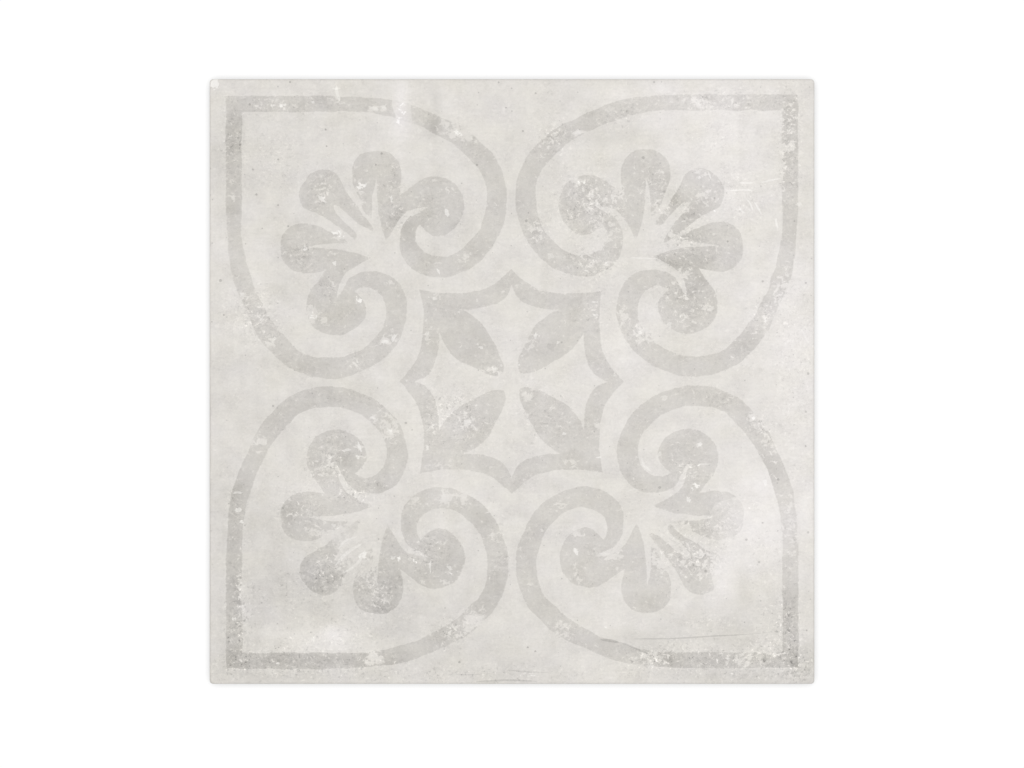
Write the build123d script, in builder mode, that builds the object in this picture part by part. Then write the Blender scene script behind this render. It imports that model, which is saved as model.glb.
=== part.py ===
"""Pressed porcelain tile for a patterned floor: one fired plate with a decorated face and a keyed back.

Millimetres, +Z up. The tile lies on its back with the face upwards. The origin is the middle of the back,
on the plane that the tile is bedded on.
"""

import math
import os

from build123d import *

# The plate
TILE_SIDE = 200.0  # across the face, each way
TILE_THICKNESS = 9.0  # from the bedding plane to the face
ARRIS_RADIUS = 0.6  # round where the face turns down into the edge
BACK_BEVEL = 0.8  # bevel round the back, so that a neighbour is met along the upper edge only
INNER_CORNER_RADIUS = 0.4  # corner that is left inside the arris or the bevel, whichever is wider

# The keys: shallow recesses in the back that bed into the adhesive
KEY_PITCH = 18.4  # from one key to the next, each way
RIB_WIDTH = 3.6  # flat rib left standing between two keys
KEY_DEPTH = 0.7
KEY_DRAFT = 35.0  # lean of a key's walls from upright, in degrees, so that the punch draws out
KEY_FLOOR_RADIUS = 2.0  # corners of a key's floor
LEAST_BACK_BAND = 5.0  # plain band kept between the outer keys and the bevel

corner_radius = INNER_CORNER_RADIUS + max(ARRIS_RADIUS, BACK_BEVEL)
key_side = KEY_PITCH - RIB_WIDTH
key_mouth_radius = KEY_FLOOR_RADIUS + KEY_DEPTH * math.tan(math.radians(KEY_DRAFT))
keyed_side = TILE_SIDE - 2 * (BACK_BEVEL + LEAST_BACK_BAND)
keys_each_way = int((keyed_side + RIB_WIDTH) // KEY_PITCH)

with BuildPart() as tile:
    with BuildSketch():
        RectangleRounded(TILE_SIDE, TILE_SIDE, corner_radius)
    extrude(amount=TILE_THICKNESS)

    # The die gives the face a soft arris and the back a bevel.
    fillet(tile.faces().sort_by(Axis.Z)[-1].edges(), ARRIS_RADIUS)
    chamfer(tile.faces().sort_by(Axis.Z)[0].edges(), BACK_BEVEL)

    # The back punch leaves a square lattice of ribs between drafted keys.
    with BuildSketch():
        with GridLocations(KEY_PITCH, KEY_PITCH, keys_each_way, keys_each_way):
            RectangleRounded(key_side, key_side, key_mouth_radius)
    extrude(amount=KEY_DEPTH, taper=KEY_DRAFT, mode=Mode.SUBTRACT)

tile.part.label = "tile"

os.makedirs("parts", exist_ok=True)
export_step(tile.part, "parts/tile.step")
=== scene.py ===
import math

import bpy
import numpy as np
from mathutils import Color, Matrix, Vector, noise
from mathutils.geometry import delaunay_2d_cdt, interpolate_bezier
from mathutils.kdtree import KDTree


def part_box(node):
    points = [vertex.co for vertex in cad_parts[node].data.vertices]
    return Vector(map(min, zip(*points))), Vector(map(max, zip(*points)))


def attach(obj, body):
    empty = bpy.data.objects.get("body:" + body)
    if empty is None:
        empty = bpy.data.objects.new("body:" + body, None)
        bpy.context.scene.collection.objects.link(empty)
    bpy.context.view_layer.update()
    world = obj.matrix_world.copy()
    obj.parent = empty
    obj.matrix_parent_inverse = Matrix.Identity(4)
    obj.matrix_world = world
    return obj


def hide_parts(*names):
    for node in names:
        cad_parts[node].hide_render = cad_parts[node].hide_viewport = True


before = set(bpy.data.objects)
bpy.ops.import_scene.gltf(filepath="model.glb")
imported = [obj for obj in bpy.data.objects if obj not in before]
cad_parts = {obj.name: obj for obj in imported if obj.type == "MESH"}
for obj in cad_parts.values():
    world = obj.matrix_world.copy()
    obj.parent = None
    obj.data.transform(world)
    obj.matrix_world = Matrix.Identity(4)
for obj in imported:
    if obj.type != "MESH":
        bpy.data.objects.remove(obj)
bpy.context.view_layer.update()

bl_info = {
    "name": "Patterned Floor Tile",
    "version": (1, 0, 0),
    "blender": (4, 5, 0),
    "location": "View3D > Sidebar > Tile",
    "description": "Builds a matt porcelain floor tile with a worn scroll ornament, and a stage for it",
    "category": "Add Mesh",
}

MM = 0.001
TILE_LOW, TILE_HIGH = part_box("tile")
TILE_SIDE = (TILE_HIGH.x - TILE_LOW.x) / MM
TILE_THICKNESS = (TILE_HIGH.z - TILE_LOW.z) / MM

# The ornament is drawn once for an eighth of the tile, between the middle line and the diagonal, and turned
# and mirrored into the others. A point is (across, up) in millimetres from the tile's middle. An outline is
# a chain of runs: a run is one smooth curve through its points, and two runs meet in a corner.

# A half of the heart: its band from the tile's corner round to the volute, the volute's bud and the petal
# that grows out of the bud
HALF_HEART = (
    (
        (94.85, 94.85), (75, 94.9), (56, 94.8), (46, 94.2), (40, 93.6), (34, 92.4), (28, 90.0), (22, 87.3),
        (16, 84.6), (10, 79.8), (6, 75.6), (3, 70), (1.5, 64.5), (1.2, 60), (2, 54), (4, 48.8), (7.5, 43),
        (12, 38.7), (18, 35.8), (24, 34.6), (30, 36), (34.3, 39.2), (36.4, 43), (36.8, 47), (36, 51.4),
        (34, 54.4), (31, 56), (27.6, 58),
    ),
    ((27.6, 58), (30, 57.8), (33, 57), (35.8, 55.4), (37.6, 53.2), (39.1, 50.5), (41.1, 46.7)),
    ((41.1, 46.7), (42.5, 50.5), (43.6, 54.8), (44.2, 60), (44.6, 67.2)),
    ((44.6, 67.2), (45.4, 64), (45.8, 59.5), (46, 54.4)),
    (
        (46, 54.4), (48.6, 56.4), (50, 60.4), (51.8, 64.4), (52.6, 69), (52, 72.6), (49.5, 75.5),
        (45.3, 76.7), (41, 76.3), (38, 74.2), (36.3, 70.6), (36.1, 66.5), (36.9, 62.2),
    ),
    (
        (36.9, 62.2), (33.5, 64.4), (30.5, 66.8), (26.5, 68.2), (22, 67.8), (18.5, 65.8), (16.2, 62),
        (15.5, 58), (16.5, 54), (19.2, 50.4), (22.8, 48.5), (26, 48.6), (28.4, 50.2), (30.2, 52.2),
    ),
    (
        (30.2, 52.2), (31.1, 50.4), (31.2, 46.9), (29.3, 44), (26, 42.2), (22, 41.8), (18, 43), (14.4, 45.9),
        (11, 49.8), (9.2, 54), (8.1, 60), (8.6, 66), (10.6, 70.8), (14, 74.2), (18, 77.8), (22, 80.6),
        (26, 82.6), (30, 84.8), (34, 86), (38, 87.4), (43, 88.6), (50, 89.5), (60, 89.5), (75, 89.5),
        (89.4, 89.4),
    ),
    ((89.4, 89.4), (92.6, 91.6), (94.85, 94.85)),
)
# A half of the split petal that lies on the diagonal: its head, then its tail and the split, which reach
# further in on the clockwise side
PETAL_HEAD = ((67.8, 67.8), (65.4, 69.7), (62.4, 70.6), (59.4, 70), (57, 68))
PETAL_SPLIT = ((59.2, 59.2), (63.3, 62.5), (67.8, 67.8))
SHORT_PETAL = (
    (*PETAL_HEAD, (56, 65.4), (54, 62), (51.6, 58), (49.4, 55.2), (47.1, 52.2)),
    ((47.1, 52.2), (48.3, 51.4), (50, 52.2)),
    ((50, 52.2), (52.4, 55), (54.8, 57.2), (57.2, 58.9), (59.2, 59.2)),
    PETAL_SPLIT,
)
LONG_PETAL = (
    (*PETAL_HEAD, (55.7, 65.5), (54, 62.5), (51.3, 59), (49.4, 56.3), (47.3, 53.8), (45.6, 51.4)),
    ((45.6, 51.4), (45.3, 50.6), (45.9, 50.2)),
    ((45.9, 50.2), (49.4, 51.8), (52, 53.9), (54.5, 56.2), (57.2, 58.3), (59.2, 59.2)),
    PETAL_SPLIT,
)
# An eighth of the star in the middle, with a half of its leaf. The leaf is flatter on its clockwise side.
STAR_BORDER = ((0, 37.2), (2, 35.3), (4.5, 33.2), (8, 31), (13, 29.6), (20, 29.2), (26, 29.5), (30.3, 30.3))
STAR_DIAGONAL = ((30.3, 30.3), (2.7, 2.7))
STAR_INSIDE = ((15.8, 23.8), (12, 24), (8, 24.7), (4.2, 26), (1.6, 28.2), (0, 31.8))
STAR_TIP = ((0, 31.8), (0, 37.2))
FULL_LEAF = (
    (2.7, 2.7), (1.9, 4.5), (2.4, 7.8), (4, 11.7), (5.8, 15.1), (7.7, 18.3), (10.5, 21), (13.2, 22.8),
    (15.8, 23.8),
)
FLAT_LEAF = (
    (2.7, 2.7), (2.6, 5.2), (4.1, 9.3), (6.2, 13.4), (8.3, 17), (10.8, 20.2), (13.6, 22.4), (15.8, 23.8),
)
FULL_STAR = (STAR_BORDER, STAR_DIAGONAL, FULL_LEAF, STAR_INSIDE, STAR_TIP)
FLAT_STAR = (STAR_BORDER, STAR_DIAGONAL, FLAT_LEAF, STAR_INSIDE, STAR_TIP)
# How far the stencil has slipped, right and up: everywhere, then for each half of a heart. A half is named
# by its quarter's signs across and up, and by whether it lies by the quarter's side.
PRINT_SLIP = (-0.2, 0.0)
HEART_SLIPS = {
    (-1, 1, False): (-0.15, -0.4),
    (-1, 1, True): (0.4, -0.3),
    (1, 1, False): (0.0, 0.1),
    (1, 1, True): (-0.05, 0.3),
    (-1, -1, False): (0.2, -0.15),
    (-1, -1, True): (0.5, -0.3),
    (1, -1, False): (0.3, 0.1),
    (1, -1, True): (0.1, 0.0),
}

# The tile's age is painted over the face in soft oval patches, listed one by one. A patch is (across, up,
# half width, half height, amount), in millimetres from the tile's middle, and ends with a turn in degrees
# where it lies askew.

# Paler and darker clouds: the amount is in percent of lightness.
CLOUDS = (
    (60, 93, 30, 6, 5), (66, 78, 18, 14, 6), (92, 10, 9, 26, 6), (22, 55, 12, 14, 2), (0, 8, 30, 26, 2.5),
    (-24, -14, 12, 14, 3), (-62, -36, 8, 5, 7), (-54, -50, 6, 12, 4, 20), (-46, -91, 3, 3, 6),
    (-12, -79, 8, 3, 7), (32, -80, 5, 3.5, 9), (42.5, -81, 3, 2.5, 8), (57, -74, 4, 2, 5),
    (25, -57, 8, 9, 1.5), (80, -46, 9, 12, 9), (69, -66, 5, 9, 11), (88, -45, 9, 16, 6),
    (5.8, 0, 3, 2, 6), (-36.6, 91, 2.8, 9, 16), (-38.5, 77, 3, 8, 6), (-84, 40, 4, 12, 4),
    (-83, 28, 3, 6, 4), (-91, 18, 3, 2, 5), (-20, -37, 10, 2.5, 4), (-23, -46.5, 2.5, 3, 6),
    (78, -33, 12, 6, 5), (45, 23, 4, 3, 5), (49, 96.7, 3, 2, 6), (35, 95, 4, 2.5, 6),
    (-92, 80, 9, 14, -5), (-97, 72, 3, 14, -4), (-75, 70, 16, 20, -2.5), (-75, 32, 6, 10, -3),
    (-94, -5, 12, 16, -4), (-84, -43, 12, 14, -8.5), (-73, -68, 15, 9, -7), (-90, -88, 13, 12, -7),
    (-75, -97, 22, 4, -6), (-40, -76, 9, 9, -5), (-10, -67, 8, 6, -3), (-3, -92, 28, 7, -5),
    (50, -86, 14, 6, -6), (75, -80, 5, 10, -7), (87, -74, 8, 7, -6), (96, -94, 5, 6, -10),
    (74, -97, 16, 3.5, -6), (97, -69, 3, 4, -4), (-25.3, 88, 1.4, 9, -8), (-1, 80, 1.2, 1.2, -7),
    (20, 93, 6, 4, -3), (-27, 82, 5, 6, -3), (36, 81, 8, 2.5, -4), (-37, -84, 8, 5, -3),
    (-70, 10, 40, 70, -2.5), (-8, 25, 38, 75, -1.5), (68, -80, 16, 6, -4), (60, 37, 9, 3, -5),
    (-45, -62, 35, 16, -3), (90, 10, 34, 95, 5), (72, 63, 8, 14, 4), (88, 33, 8, 8, 5),
    (34, 13, 7, 15, 7.5), (97, -38, 4, 12, 4), (40, -61, 12, 12, 4), (38, -94, 8, 4, 3),
    (50, -26, 14, 12, 2), (-57, -84, 8, 5, 11), (-72, -84, 10, 4, 7), (-20, 53, 12, 8, -2),
    (-60, 0, 3, 6, -4), (-97, 46, 3, 9, 4), (-95, -80, 4, 20, -3), (-60, -97.5, 30, 2, -3),
    (-8, -96.5, 10, 2, -4), (97.5, -91, 3, 8, -7), (-25.3, 93, 1.3, 4, -6), (-88, 62, 10, 9, -2),
    (97, 60, 3, 30, -2), (70, 90, 28, 14, 4), (-66, -70, 30, 18, -6), (32, -31, 3, 2.5, -5),
    (-25, -82, 28, 14, -4), (-97, -60, 4, 40, -3), (-30, -97.5, 70, 2.4, -4), (80, -97.5, 24, 2.6, -7),
    (0, -55, 10, 10, -2.5), (-95, -38, 5, 8, -4), (52.5, 38.4, 4.5, 1.2, -12, -28),
    (-38, 54.5, 1.8, 3.2, -9, -30), (53.3, 62.5, 1.6, 3.5, -8, -30), (-25, 50, 14, 9, -2),
    (0, -74, 12, 6, -2), (40, -85, 10, 2, -4, -20), (97, -45, 5, 25, 2.5), (80, -88, 25, 12, -2.5),
    (-84, -70, 6, 8, -4), (-36.5, -55.5, 2.2, 2.4, -5), (57.5, 48.5, 8, 2.4, -6), (45, 6, 6, 4, 4),
    (-32, 23, 11, 4, -3), (7, 62, 7, 14, -3.5), (28, 79.5, 12, 1.6, -5), (43.5, 52, 3, 7, -4),
    (60, 47, 9, 2, -4), (-73, -33, 14, 5, 5), (-11, 60, 5, 4, 4), (-22, -31, 9, 2.5, 4),
    (-43, -61, 1.2, 6, -6), (-60, -88, 12, 1.6, 5), (41, -88, 6, 2.5, -6, -25),
    (38.5, -51, 1, 4, -8, -25), (66, -35, 3, 3, -6), (-24, 97, 5, 2, 5), (-17, 93, 4, 4, 4),
    (42, 98, 5, 2, 4), (-59.6, -82.5, 3.4, 3, 5), (-68.4, -77, 2, 1.4, 6), (-50.5, 26, 1.5, 2.5, 8),
    (71, -48, 5, 10, 4), (-88.9, 84, 0.8, 8, -7), (-27, 81, 1.8, 2, -8),
)
# Where the print is denser or thinner: the amount is a share of the full colour.
INK = (
    (-92, 79, 3.5, 9, 0.28), (-92, 61, 3.5, 5, 0.12), (-92, 88, 3, 5, 0.1), (-63, 92.5, 6, 3, 0.1),
    (-38.5, 67, 2.2, 3.5, 0.15), (-38, 53.5, 3, 5, 0.22), (-75, 46, 3, 5, 0.12),
    (-69.5, 41.5, 2.5, 4, 0.12), (-26, 83.8, 1.8, 3.5, 0.32), (-11.5, 43.5, 4, 4, 0.12, 30),
    (-27.3, 59.5, 2.5, 3, 0.25), (-27, 55, 2, 2, 0.2), (-18, 52.3, 2, 2, 0.12), (-34.8, 51, 2.5, 4, 0.35),
    (-66.5, 5, 6, 2.5, 0.12), (-60.5, 31, 4, 3.5, 0.15), (-66, -92, 26, 3, 0.35),
    (-92, -62, 3.5, 32, 0.25), (-91, -38, 3, 4, 0.2), (-91, -70, 3, 4, 0.15), (62, -92, 10, 3, 0.25),
    (88, -92, 9, 3, 0.18), (92.4, -80, 3.5, 13, 0.25), (-72, -43, 4, 4.5, 0.38), (-65, -67, 4, 3.5, 0.3),
    (-39.5, -66.5, 3.6, 6.5, 0.36), (-43, -75.2, 5, 1.9, 0.38), (-22, -60, 8, 7, 0.22),
    (-9.5, -44.5, 3, 4, 0.3, 40), (-6, -67.5, 4, 4, 0.2), (-22, -84, 8, 3, 0.15, 20),
    (-78, -10.5, 4, 3, 0.12, 35), (-60.1, -5, 1.4, 3.6, 0.33), (-88.3, -34, 3, 3, 0.2),
    (-55, -25.5, 3, 3, 0.25), (-58, -20, 6, 2.5, 0.1), (60.5, 30, 4.5, 5, 0.35), (54.5, 28, 3, 4, 0.2),
    (77, 12.2, 5, 3, 0.28, 35), (68, -6, 3, 4, 0.12), (53.7, 61, 2.3, 3.6, 0.5, 10),
    (59, 54.8, 3, 2.5, 0.3), (55.5, 48.2, 4, 2, 0.2), (53, 39, 5, 1.6, 0.4, -16),
    (61.5, 39.5, 4, 2.7, 0.48), (92.1, 69, 3, 7, 0.2), (84.7, 92, 3, 3, 0.2), (37, 90.4, 3, 3, 0.1),
    (25, 88.7, 3, 1.5, 0.2, 20), (60, 92.4, 22, 3, -0.15), (84, 20, 4, 4, -0.2), (92, -48, 3.5, 12, -0.2),
    (85, -30, 4, 5, 0.45), (67, -62, 4, 6, -0.15), (-22, -27.5, 8, 3, -0.15), (-21, -38.5, 7, 3, -0.15),
    (-14, 13, 9, 9, 0.15, 45), (-52, -29, 8, 12, 0.12), (-92, 57.5, 3, 2.5, 0.2), (92, 49, 3, 2, 0.15),
    (63, 33.5, 2.4, 2.4, 0.35), (25.5, 41.7, 1.8, 0.8, 0.5), (25, 62, 5, 5, 0.15),
    (-70, -10.5, 6, 2.5, 0.2, 25), (-42, -35.2, 4, 1.6, 0.25), (-68.5, -60.5, 2, 2.4, 0.3),
    (-35, -47.5, 1.6, 3, 0.25), (-9, -73, 4, 3, 0.12), (-78, -92.5, 9, 3, 0.2),
    (-39.5, -92.8, 2.4, 1.2, 0.35), (52, -92, 2.4, 3, 0.4), (93.5, -92, 1.8, 3.4, 0.4),
    (10, -76, 4, 3, 0.12), (-92, -91, 4, 4, 0.2), (13, 11, 4, 3, 0.25, 45), (-28, -10.8, 2.4, 1, 0.35),
    (22, -28.5, 7, 1, 0.15), (45, -73, 3, 2, 0.15), (92.2, -72, 3, 4, 0.15), (-32, 49.5, 3, 5, 0.3),
    (-30, 86.6, 4, 3, -0.25, -25), (32, -47, 2.4, 4, 0.12), (92, 84, 3, 10, 0.2), (58, 49, 11, 10, 0.12),
    (62, -58, 5, 8, 0.15),
)
# Where the print has flaked off: the amount is the share that is gone.
WEAR = (
    (-15.7, 81.8, 3.6, 2, 0.9, -25), (-20.5, 81.5, 3, 3, 0.4), (-78, 91.5, 5, 2.5, 0.45),
    (-57.5, 94, 1.5, 2.5, 0.6), (-45.8, 90.1, 2, 1.3, 0.7), (-42.4, 90.4, 1.3, 1.3, 0.6),
    (-49.6, 62, 2, 4, 0.4), (-57, 48.6, 3.5, 2, 0.7), (-62, 61.5, 2.2, 2.6, 0.35),
    (-84, 21, 7, 8, 0.22, 40), (-89, 28.5, 1.5, 1.5, 0.7), (-79.3, 13.2, 2, 1.5, 0.7),
    (-66, 22.2, 2.2, 2.8, 0.9), (-62, 20, 1.3, 1.5, 0.6), (-40.3, 32.2, 1.8, 1.5, 0.5),
    (-42, 13.2, 2, 1.5, 0.8), (-39, 14.5, 1.3, 1.5, 0.6), (-51.5, 6.5, 2.5, 2, 0.45),
    (-16, 40.5, 2, 2.4, 0.55, -30), (-21.5, 63.5, 2.2, 2.5, 0.4), (-83.6, -20, 3, 2.8, 0.65),
    (-45, -11.6, 3, 2.5, 0.5, -40), (-40.6, -16.3, 3, 2.5, 0.8, -50), (-61, -28, 4.5, 4, 0.5),
    (-50.5, -22, 1.5, 2.5, 0.7), (-66, -50, 3, 2, 0.5), (-60.5, -50.3, 3, 1.5, 0.7),
    (-56.9, -48.7, 1.8, 1.6, 0.8), (-52, -57, 4, 6, 0.5, 40), (-47.5, -62, 2.5, 5, 0.5),
    (-43, -71, 4, 4, 0.4), (-46, -91.7, 3, 2.6, 0.95), (-21, -38.6, 7, 2.5, 0.4),
    (-5.8, -51.4, 2.5, 1.8, 0.6), (-12.8, -79.5, 4, 2.6, 0.95, 40), (-20, -83, 4, 2.5, 0.45, 25),
    (-19.5, -63.5, 4, 2.5, 0.25), (-25.7, 27.5, 2, 1.5, 0.5), (-27.9, 15, 1.3, 3, 0.5),
    (-6, 3.8, 2.6, 1.6, 0.8, -20), (6.5, 12.5, 1.5, 2.5, 0.6), (-15, -13.6, 2.2, 1.8, 0.8),
    (5.3, -4.8, 2, 2, 0.8), (28.4, -15, 1.2, 2, 0.5), (19.5, -27.5, 2.2, 1.8, 0.5),
    (-22, -27.5, 7, 2.5, 0.35), (27.5, 24, 2, 3, 0.4), (-26, -14, 3, 6, 0.2), (8, 50.5, 3, 3.5, 0.5),
    (26, 38.5, 8, 3, 0.4), (29.5, 47, 2.5, 3, 0.7), (22, 82, 2, 2, 0.5), (61, 92.3, 3, 2.4, 0.6),
    (70, 92.3, 10, 2.5, 0.25), (91.8, 77.4, 2.5, 1.5, 0.8), (91.8, 86, 3, 7, 0.35),
    (63.4, 61.6, 3.4, 2.4, 0.45), (61.5, 69.4, 2, 1.2, 0.6), (65.2, 68.3, 2, 1.2, 0.5),
    (48.9, 56.7, 1.8, 2, 0.8), (56, 48.4, 4, 2, 0.5), (65, 24.4, 3.5, 0.8, 0.7),
    (42.7, 15, 4, 2.6, 0.6, -45), (37, 21.5, 1.5, 2, 0.5), (84, 20, 4, 4, 0.35), (89.5, 31, 3, 6, 0.42),
    (57, 21, 4, 3, 0.3), (80.5, -12.5, 3.4, 2, 0.8, -40), (51, -5.6, 1.5, 2, 0.5),
    (85, -20, 3, 5, 0.4, 25), (58.5, -28, 3.5, 2, 0.5), (62.2, -20.6, 1, 1, 0.6), (72, -48, 6, 9, 0.15),
    (70, -63, 4, 8, 0.45, 15), (57, -48, 2.5, 2, 0.8), (49, -59, 2.4, 5, 0.8, 20),
    (21.5, 66.3, 2.4, 1.4, 0.9, -15), (60, -58, 7, 8, 0.4), (92, -48, 3, 10, 0.35),
    (46.3, -91.4, 5, 2.5, 0.7), (76, -92.3, 4, 2.4, 0.8), (16.5, -81.5, 3, 2.4, 0.55),
    (15.7, -41, 2, 2.5, 0.6), (5.2, -67.4, 2, 2, 0.35), (28, -57, 3, 1, 0.5), (20.9, -56.1, 1, 1.2, 0.6),
    (24.5, 61, 8, 8, 0.15), (28, 60, 3, 2.5, 0.3), (-37, 90.5, 2.4, 5, 0.45), (-92.3, 61, 2.2, 1.1, 0.7),
    (-63, 64.5, 2.6, 1.5, 0.45), (86.5, 27, 3, 4, 0.2), (57.5, 35.5, 2.2, 1.6, 0.7),
    (50, 11.8, 8, 0.9, 0.6, -25), (89.6, 71, 0.9, 11, 0.6), (36.5, 21.5, 1.4, 3.4, 0.4),
    (-22, -38.5, 1.6, 2.8, 0.6), (-15.8, -38.5, 0.9, 3, 0.8), (-32.5, -40, 1.6, 1.6, 0.5),
    (-21.5, -66.5, 2.2, 0.9, 0.7), (22, -65, 0.9, 3, 0.5, 15), (21.5, -50.4, 2.2, 1, 0.8),
    (13, 30.5, 5.5, 0.9, 0.9, -10), (34, -57.5, 3.6, 1.1, 0.9, 20), (13, 80.5, 4, 3, 0.35, 40),
    (-89.9, -69, 1.1, 11, 0.7), (-40.5, -11.5, 7, 0.8, 0.5, -53), (-22, 85, 3, 1.6, 0.45, -25),
    (35, 62, 2.5, 3.5, 0.5), (46, 62, 6, 10, 0.18), (84, -89.8, 9, 0.7, 0.6), (33, 52, 5, 10, 0.3),
    (58, 50, 10, 9, 0.12), (58, 27, 8, 8, 0.15), (-53, -56, 8, 6, 0.35, 40), (-70, -44, 8, 5, 0.12),
)
# Where the white engobe under the glaze shows in flecks: 1 bares nearly all of it.
BARE = (
    (-98.3, 98.4, 1.9, 1.7, 1.6), (-36.6, 90, 1.8, 2.8, 0.9), (-37.8, 85.8, 1.9, 1.2, 1),
    (-34.2, 96, 0.9, 4, 0.6), (-38, 96.5, 1.2, 2.5, 0.4), (-76.5, 91, 3.4, 1.2, 0.7),
    (-81, 91.6, 1.6, 0.8, 0.6), (-45.8, 90.1, 1.8, 1.1, 0.6), (-42.4, 90.4, 1.1, 1.1, 0.5),
    (-17.5, 82, 3.6, 1.5, 0.85, -25), (-50.6, 58.8, 1, 0.9, 0.7), (-48.2, 55, 1, 0.8, 0.7),
    (-57, 48.6, 2.4, 1.4, 0.7), (-62.4, 60.6, 1, 1, 0.8), (-66, 22.2, 1.8, 2.4, 0.8),
    (-62, 20.2, 0.9, 1.2, 0.7), (-89.2, 28.6, 1, 1.2, 0.7), (-79.3, 13.2, 1.3, 1, 0.7),
    (-84, 22, 4, 6, 0.25, 40), (-42, 13.1, 1.5, 1, 0.9), (-39, 14.6, 0.9, 1.2, 0.6),
    (-50, -21.9, 1, 1.5, 0.7), (-54.4, -23, 1.6, 1, 0.6), (-61, -27.8, 3, 2.4, 0.4),
    (-40.6, -16.3, 2.2, 1.6, 0.8, -50), (-83.6, -20, 2, 1.8, 0.4), (-87, -5.9, 1.6, 0.8, 0.4),
    (-57, -48.8, 1.4, 1.4, 0.7), (-60.7, -50.3, 1.6, 0.8, 0.7), (-65, -53.6, 4, 1.2, 0.4),
    (-50, -57.5, 1.4, 1.8, 0.7), (-48, -60, 1.5, 4, 0.4), (-68.5, -34.1, 4, 2, 0.4),
    (-56, -84.5, 6, 3.5, 0.25), (-70, -83.5, 4, 3, 0.2), (-46, -90, 2, 2, 0.5), (-33, -57, 2, 1, 0.5),
    (5.8, 0, 2.4, 1.6, 0.5), (-6, 3.4, 2, 1.1, 0.6), (7.7, 14.5, 0.9, 1, 0.7),
    (-14.9, -13.6, 1.8, 1.5, 0.6), (5.2, -4.5, 1.2, 1.2, 0.7), (-25.7, 27.5, 1.2, 1, 0.6),
    (-28, 16, 1, 1, 0.6), (13.2, 41, 1.2, 1.2, 0.6), (22, 82.1, 1.1, 1.1, 0.7), (7.5, 51, 2, 2.6, 0.35),
    (61.2, 93, 3.4, 2.4, 0.6), (49.4, 96.7, 2, 1.5, 0.4), (61.5, 96.5, 0.9, 1.8, 0.5),
    (91.9, 77.4, 1.6, 1, 0.7), (94.9, 58.9, 1.4, 1.2, 0.8), (64, 61, 2.4, 1.6, 0.4),
    (61.5, 69.4, 1.4, 0.8, 0.6), (65.1, 68.3, 1.4, 0.8, 0.6), (48.8, 56.7, 1.3, 1.6, 0.8),
    (66.5, 56.5, 1.4, 0.8, 0.6), (64.2, 24.4, 2.8, 0.6, 0.8), (42.7, 15.5, 3, 1.8, 0.55, -45),
    (84.1, 19.8, 2, 1.6, 0.7), (45.5, 23.5, 3, 2.4, 0.35), (76, 62, 6, 6, 0.3),
    (80.5, -12.6, 2.6, 1.2, 0.8, -40), (61, -27.3, 1.4, 0.9, 0.7), (58.5, -31, 2.5, 1.5, 0.5),
    (43.3, -27.7, 1, 3, 0.5, 30), (56.5, -49.5, 3, 2, 0.75, -45), (49.6, -58.5, 2, 5, 0.65, 30),
    (70, -45, 4, 6, 0.2), (68, -70.5, 4, 2.2, 0.5), (70, -57, 2.4, 6, 0.5), (78, -42, 3, 2, 0.5),
    (32, -80.7, 4, 2.6, 0.62), (42.6, -81.3, 1.6, 1.2, 0.7), (46.3, -91.5, 3, 1.5, 0.45),
    (76, -92.5, 3, 1.2, 0.5), (16.8, -81.8, 1.4, 1, 0.6), (15.7, -41, 1.2, 1.4, 0.5),
    (5, -96.8, 8, 1.2, 0.8), (-25.4, -97.8, 2, 0.8, 0.5), (-11, -98.5, 1.5, 0.7, 0.5),
    (27.8, 60.2, 3.2, 2.4, 0.45), (22.5, 65.8, 2.6, 1.2, 0.95, -10), (20.5, 61.5, 2, 0.9, 0.7, -30),
    (33, 62, 1.6, 1.6, 0.6), (31, 38.5, 3, 1.5, 0.5), (-49.6, 64.4, 1.9, 1.9, 1.1),
    (-58.5, 49.5, 2.6, 1.2, 0.7), (-24, 50.3, 4, 1, 0.6), (-60.5, 34, 2.6, 1, 0.6),
    (-40.7, 32.2, 1.4, 0.9, 0.8), (-82, 18, 3, 3, 0.25), (-51.7, 7, 2, 2, 0.4),
    (57.5, 35.5, 2, 1.5, 0.55), (56, 21.4, 1.6, 0.9, 0.7, 30), (-62, -30.5, 3.4, 1.2, 0.55),
    (-48.5, -58, 1.8, 2.5, 0.5), (-26.7, -38, 0.8, 2.5, 0.6), (-15.8, -38.5, 0.9, 3, 0.7),
    (-32.5, -59.5, 2, 1.1, 0.95, -40), (-37.5, -58.5, 1.6, 1, 0.95, -30), (-6, -51.8, 2, 1.1, 0.6, -35),
    (59.5, -28.5, 2.4, 1, 0.6), (35, -59, 1.8, 1.2, 0.6), (24.5, -37.5, 0.8, 1.6, 0.7, 20),
    (21.5, -50.4, 2, 0.9, 0.5), (-20.5, -63, 2.4, 1.1, 0.65, -30), (60.5, -34.5, 3, 2, 0.8, 40),
    (13, 80.5, 4, 3, 0.3, 40), (-31.8, -55, 0.8, 2.6, 0.7), (-50.4, 27, 1.6, 2.2, 1),
)
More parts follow.
